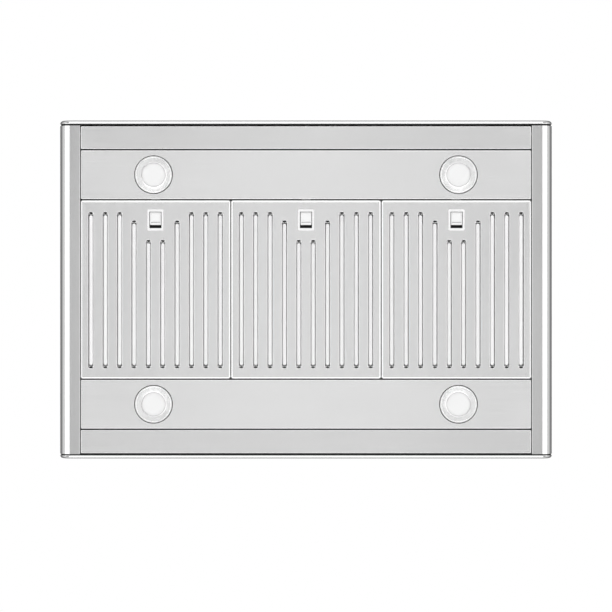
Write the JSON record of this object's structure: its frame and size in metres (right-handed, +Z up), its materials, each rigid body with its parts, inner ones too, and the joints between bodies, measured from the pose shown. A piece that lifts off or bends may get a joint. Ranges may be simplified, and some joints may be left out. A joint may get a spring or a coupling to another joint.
{
  "type": "under cabinet range hood",
  "caption": "Slim stainless steel cooker hood that hangs under a cabinet, with hinged slotted baffle filters, round lights, a round duct collar and push buttons.",
  "frame": {"origin": "middle of the cabinet screw pattern, on the top face", "axes": "+X to the right, -Y towards the front edge where the filter latches are, +Z up into the cabinet"},
  "size_m": [0.759, 0.52, 0.224],
  "materials": {
    "casing_steel": "brushed stainless steel, grain along the width",
    "underside_steel": "satin stainless steel",
    "gasket": "matt black",
    "light_trim": "satin",
    "light_lens": "opal diffuser",
    "light_can": "plain cast",
    "bright_steel": "bright",
    "galvanised": "galvanised sheet",
    "motor": "black enamel",
    "wheel": "mill finish",
    "filter_steel": "satin stainless steel",
    "baffle_steel": "satin stainless steel",
    "latch_plastic": "white satin",
    "button_metal": "turned face",
    "black_plastic": "matt",
    "white_plastic": "matt",
    "board": "solder mask"
  },
  "bodies": {
    "casing": {"outer_shell": "casing_steel", "front_panel": "casing_steel", "rear_panel": "casing_steel", "front_gasket": "gasket", "rear_gasket": "gasket", "front_strip": "underside_steel", "rear_strip": "underside_steel", "front_light_panel": "underside_steel", "rear_light_panel": "underside_steel", "hinge_rod": "bright_steel", "light_trim_1": "light_trim", "light_lens_1": "light_lens", "light_can_1": "light_can", "light_trim_2": "light_trim", "light_lens_2": "light_lens", "light_can_2": "light_can", "light_trim_3": "light_trim", "light_lens_3": "light_lens", "light_can_3": "light_can", "light_trim_4": "light_trim", "light_lens_4": "light_lens", "light_can_4": "light_can", "blower_housing": "galvanised", "inlet_ring_left": "galvanised", "inlet_ring_right": "galvanised", "motor_body": "motor", "motor_bracket": "galvanised", "collar_plate": "galvanised", "duct_collar": "galvanised", "damper_pin": "bright_steel", "switch_block": "black_plastic", "control_board": "board", "wiring_box": "galvanised", "wiring_box_cover": "galvanised", "terminal_block": "white_plastic", "led_driver": "white_plastic", "capacitor": "white_plastic", "collar_screws": "bright_steel"},
    "blower_rotor": {"blower_wheel": "wheel", "motor_shaft": "bright_steel"},
    "damper_flap_front": {"damper_flap_front": "galvanised"},
    "damper_flap_rear": {"damper_flap_rear": "galvanised"},
    "filter_left": {"filter_face_left": "filter_steel", "filter_baffles_left": "baffle_steel", "latch_plate_left": "latch_plastic"},
    "latch_left": {"latch_slider_left": "latch_plastic"},
    "filter_middle": {"filter_face_middle": "filter_steel", "filter_baffles_middle": "baffle_steel", "latch_plate_middle": "latch_plastic"},
    "latch_middle": {"latch_slider_middle": "latch_plastic"},
    "filter_right": {"filter_face_right": "filter_steel", "filter_baffles_right": "baffle_steel", "latch_plate_right": "latch_plastic"},
    "latch_right": {"latch_slider_right": "latch_plastic"},
    "push_button_1": {"push_button_1": "button_metal"},
    "push_button_2": {"push_button_2": "button_metal"},
    "push_button_3": {"push_button_3": "button_metal"},
    "push_button_4": {"push_button_4": "button_metal"},
    "push_button_5": {"push_button_5": "button_metal"}
  },
  "joints": [
    {"name": "filter_left_hinge", "type": "hinge", "parent": "casing", "child": "filter_left", "pos_m": [-0.23147, 0.1336, -0.1725], "axis": [1, 0, 0], "range_deg": [0, 75]},
    {"name": "latch_left_slide", "type": "slide", "parent": "filter_left", "child": "latch_left", "axis": [0, 1, 0], "range_m": [0, 0.004], "stiffness_N_per_m": 400},
    {"name": "filter_middle_hinge", "type": "hinge", "parent": "casing", "child": "filter_middle", "pos_m": [0, 0.1336, -0.1725], "axis": [1, 0, 0], "range_deg": [0, 75]},
    {"name": "latch_middle_slide", "type": "slide", "parent": "filter_middle", "child": "latch_middle", "axis": [0, 1, 0], "range_m": [0, 0.004], "stiffness_N_per_m": 400},
    {"name": "filter_right_hinge", "type": "hinge", "parent": "casing", "child": "filter_right", "pos_m": [0.23147, 0.1336, -0.1725], "axis": [1, 0, 0], "range_deg": [0, 75]},
    {"name": "latch_right_slide", "type": "slide", "parent": "filter_right", "child": "latch_right", "axis": [0, 1, 0], "range_m": [0, 0.004], "stiffness_N_per_m": 400},
    {"name": "damper_front_hinge", "type": "hinge", "parent": "casing", "child": "damper_flap_front", "pos_m": [0, 0.01, 0.024], "axis": [1, 0, 0], "range_deg": [-80, 0]},
    {"name": "damper_rear_hinge", "type": "hinge", "parent": "casing", "child": "damper_flap_rear", "pos_m": [0, 0.01, 0.024], "axis": [1, 0, 0], "range_deg": [0, 80]},
    {"name": "blower_spin", "type": "hinge", "parent": "casing", "child": "blower_rotor", "pos_m": [0, -0.028, -0.086], "axis": [1, 0, 0], "continuous": true},
    {"name": "push_button_1_slide", "type": "slide", "parent": "casing", "child": "push_button_1", "axis": [0, 1, 0], "range_m": [0, 0.002], "stiffness_N_per_m": 600},
    {"name": "push_button_2_slide", "type": "slide", "parent": "casing", "child": "push_button_2", "axis": [0, 1, 0], "range_m": [0, 0.002], "stiffness_N_per_m": 600},
    {"name": "push_button_3_slide", "type": "slide", "parent": "casing", "child": "push_button_3", "axis": [0, 1, 0], "range_m": [0, 0.002], "stiffness_N_per_m": 600},
    {"name": "push_button_4_slide", "type": "slide", "parent": "casing", "child": "push_button_4", "axis": [0, 1, 0], "range_m": [0, 0.002], "stiffness_N_per_m": 600},
    {"name": "push_button_5_slide", "type": "slide", "parent": "casing", "child": "push_button_5", "axis": [0, 1, 0], "range_m": [0, 0.002], "stiffness_N_per_m": 600}
  ]
}
